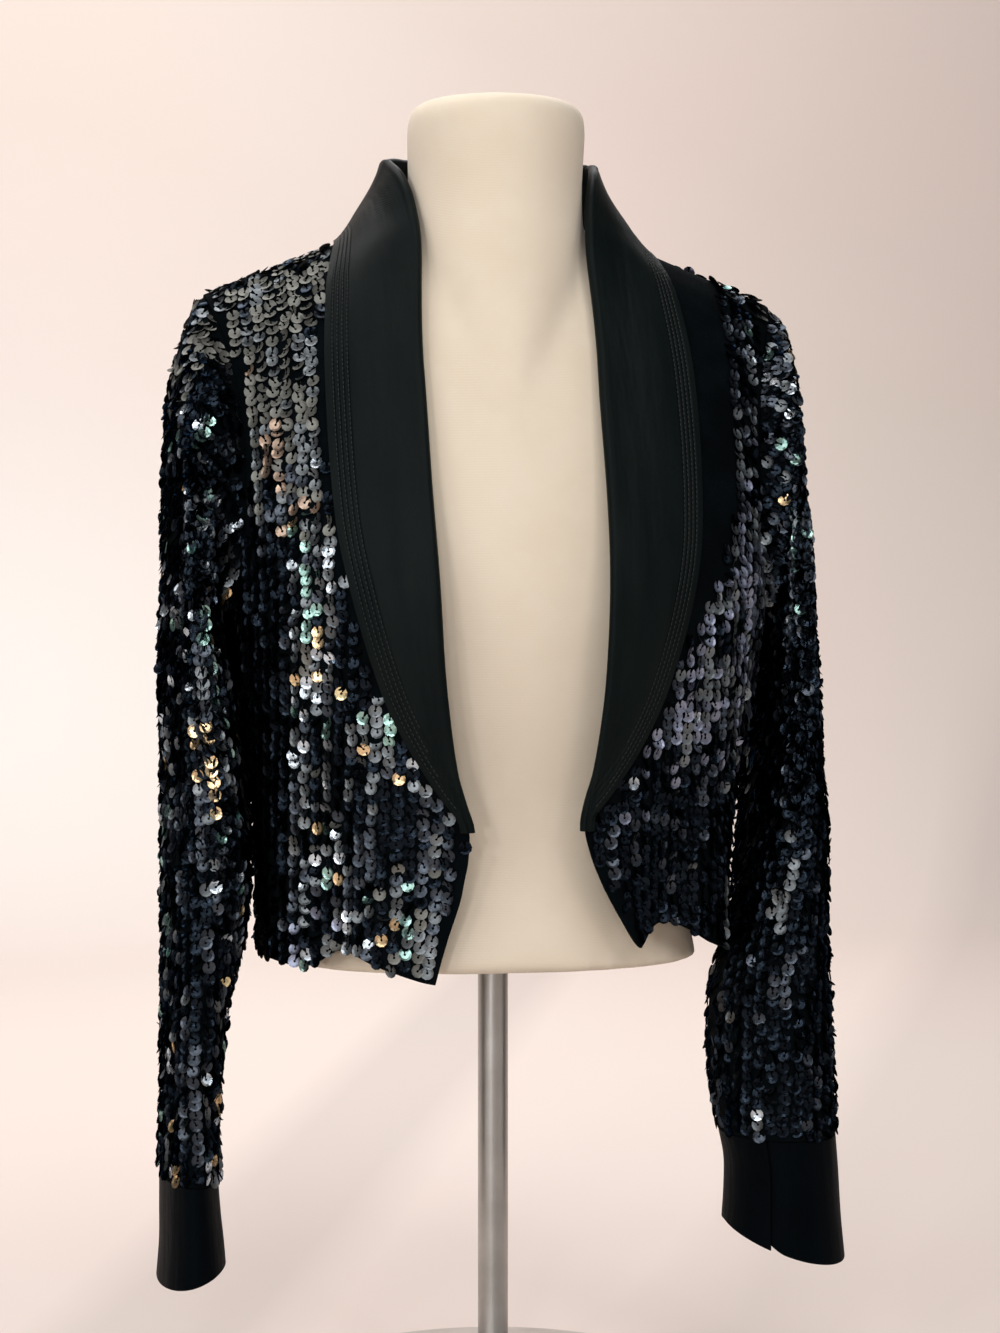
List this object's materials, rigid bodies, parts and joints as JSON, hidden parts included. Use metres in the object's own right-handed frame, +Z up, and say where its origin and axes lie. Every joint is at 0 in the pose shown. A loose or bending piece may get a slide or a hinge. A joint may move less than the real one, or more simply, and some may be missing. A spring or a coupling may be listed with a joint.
{
  "type": "sequinned bolero jacket on a dress form",
  "caption": "Cropped open evening jacket in black sequins, with a wide satin shawl collar, long sleeves and plain cuffs, worn by a limbless bust form on a pole stand.",
  "frame": {"origin": "on the floor, under the middle of the stand's round base", "axes": "+Z up, the bust and the jacket's open front face -Y, +X is the wearer's left"},
  "size_m": [0.4351, 0.2609, 0.8095],
  "materials": {
    "sequins": "black cloth closely sewn with iridescent cup sequins",
    "collar_satin": "heavy black satin with rows of topstitching",
    "cuff_satin": "plain black satin",
    "form_cover": "cream fine woven cover stretched over the form",
    "stand_metal": "satin brushed"
  },
  "bodies": {
    "root": {"base": "stand_metal", "pole": "stand_metal", "bust_form": "form_cover", "back": "sequins", "front_left": "sequins", "sleeve_left": "sequins", "cuff_left": "cuff_satin", "collar_left": "collar_satin", "front_right": "sequins", "sleeve_right": "sequins", "cuff_right": "cuff_satin", "collar_right": "collar_satin"}
  },
  "joints": []
}
